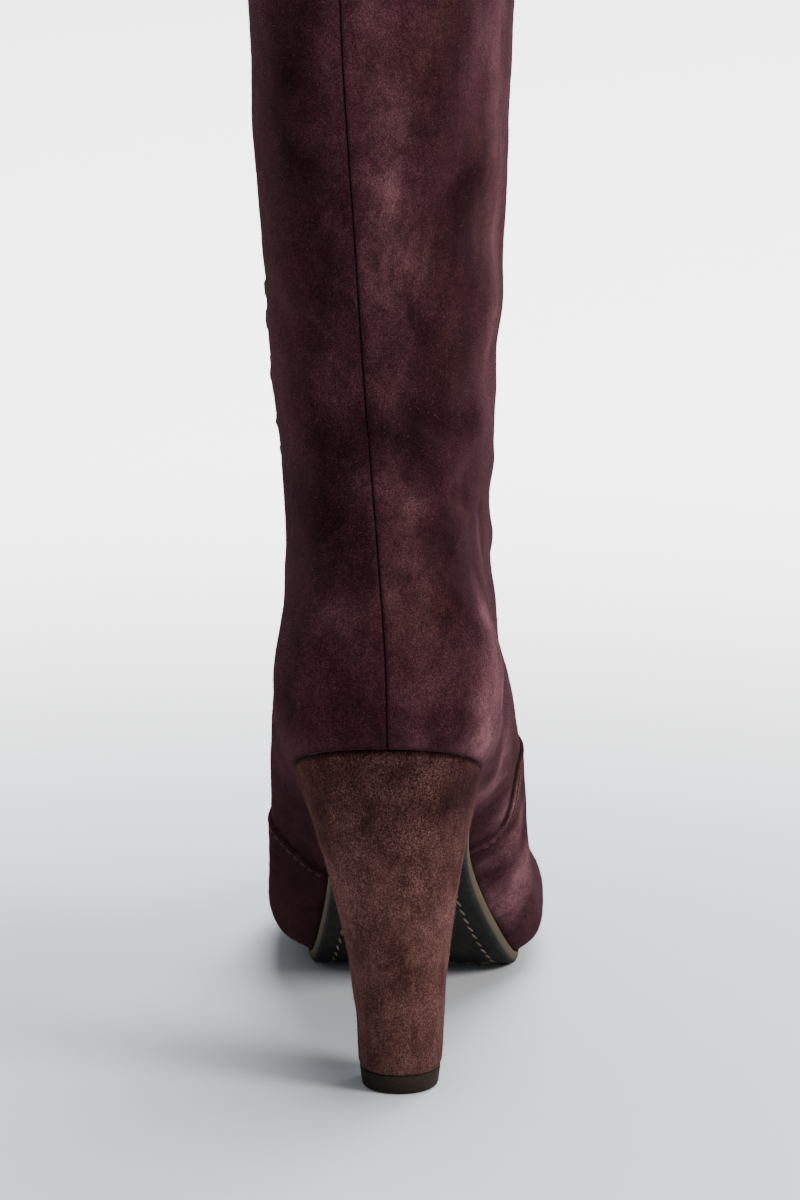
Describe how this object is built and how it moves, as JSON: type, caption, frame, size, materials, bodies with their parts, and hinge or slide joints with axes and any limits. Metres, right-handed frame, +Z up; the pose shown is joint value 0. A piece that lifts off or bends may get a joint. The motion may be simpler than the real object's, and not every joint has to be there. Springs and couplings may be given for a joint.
{
  "type": "over-the-knee boot",
  "caption": "Over-the-knee suede boot for the right foot: tall hollow shaft, zip on the inner side, covered block heel, rubber top piece and thin leather sole.",
  "frame": {"origin": "on the floor, at the centre of the bottom face of the heel's top piece", "axes": "+Z up the shaft, -Y towards the toe, -X towards the outer side of this right boot, +X towards the inner side with the zip"},
  "size_m": [0.1213, 0.2377, 0.6304],
  "materials": {
    "suede": "brushed napped suede, burgundy brown",
    "heel_suede": "napped suede stretched over the heel block, worn at the edges",
    "sole_leather": "dark dyed sole leather with a scuffed underside",
    "sock_leather": "smooth lining leather",
    "top_piece_rubber": "dark brown rubber, satin",
    "zip_tape": "woven polyester tape with fine teeth",
    "zip_metal": "dark nickel"
  },
  "bodies": {
    "boot": {"upper": "suede", "insole": "sock_leather", "outsole": "sole_leather", "heel": "heel_suede", "top_piece": "top_piece_rubber", "zip_chain": "zip_tape", "zip_slider": "zip_metal"},
    "pull": {"zip_pull": "zip_metal"}
  },
  "joints": [
    {"name": "zip_pull_swing", "type": "hinge", "parent": "boot", "child": "pull", "pos_m": [0.05548, -0.03297, 0.46397], "axis": [-0.1848, -0.9828, 0], "range_deg": [0, 170]}
  ]
}
